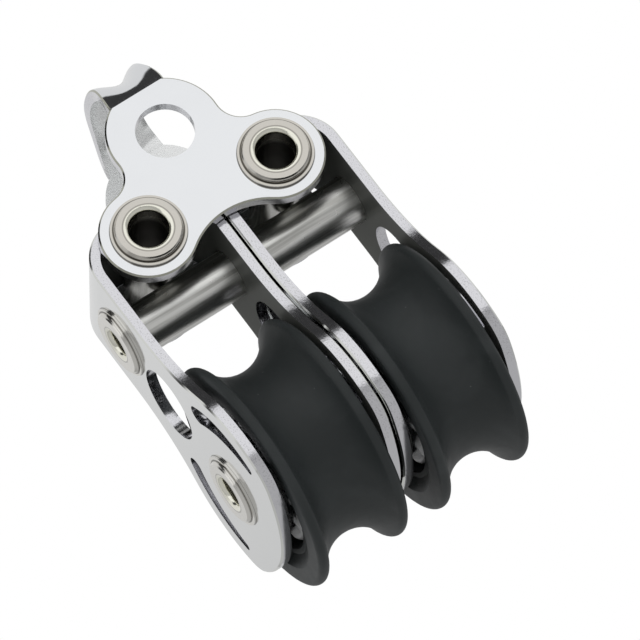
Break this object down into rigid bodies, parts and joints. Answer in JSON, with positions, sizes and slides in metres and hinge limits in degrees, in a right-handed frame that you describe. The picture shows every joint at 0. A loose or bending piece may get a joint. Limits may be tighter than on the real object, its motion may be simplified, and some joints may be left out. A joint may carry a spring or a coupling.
{
  "type": "double block",
  "caption": "Small double pulley block: ball-bearing sheaves side by side in folded steel side straps under a head with a fixed eye.",
  "frame": {"origin": "centre of the shackle eye, midway between the two arms of the head strap", "axes": "+Z from the axle up to the eye, +X along the axle, +Y through the eye from front to back"},
  "size_m": [0.0268, 0.022, 0.0494],
  "materials": {
    "polished_steel": "polished",
    "rivet_steel": "polished",
    "turned_steel": "turned",
    "race_steel": "turned",
    "ball_steel": "polished",
    "black_polymer": "satin"
  },
  "bodies": {
    "frame": {"head_strap": "polished_steel", "head_rivet_left": "rivet_steel", "head_washers_left": "rivet_steel", "head_spacer_left": "turned_steel", "head_rivet_right": "rivet_steel", "head_washers_right": "rivet_steel", "head_spacer_right": "turned_steel", "crossbar_rivet": "rivet_steel", "crossbar_washers": "rivet_steel", "crossbar_spacer_left": "turned_steel", "crossbar_spacer_right": "turned_steel", "axle_rivet": "rivet_steel", "axle_washers": "rivet_steel", "side_strap_left": "polished_steel", "race_left_outer": "race_steel", "race_left_inner": "race_steel", "side_strap_right": "polished_steel", "race_right_outer": "race_steel", "race_right_inner": "race_steel"},
    "sheave_left": {"sheave_left": "black_polymer"},
    "balls_left": {"balls_left": "ball_steel"},
    "sheave_right": {"sheave_right": "black_polymer"},
    "balls_right": {"balls_right": "ball_steel"}
  },
  "joints": [
    {"name": "sheave_left_spin", "type": "hinge", "parent": "frame", "child": "sheave_left", "pos_m": [-0.00645, 0, -0.0292], "axis": [1, 0, 0], "continuous": true},
    {"name": "balls_left_spin", "type": "hinge", "parent": "frame", "child": "balls_left", "pos_m": [-0.00645, 0, -0.0292], "axis": [1, 0, 0], "continuous": true},
    {"name": "sheave_right_spin", "type": "hinge", "parent": "frame", "child": "sheave_right", "pos_m": [0.00645, 0, -0.0292], "axis": [1, 0, 0], "continuous": true},
    {"name": "balls_right_spin", "type": "hinge", "parent": "frame", "child": "balls_right", "pos_m": [0.00645, 0, -0.0292], "axis": [1, 0, 0], "continuous": true}
  ],
  "couplings": [
    {"joint": "balls_left_spin", "follows": "sheave_left_spin", "ratio": 0.62288},
    {"joint": "balls_right_spin", "follows": "sheave_right_spin", "ratio": 0.62288}
  ]
}
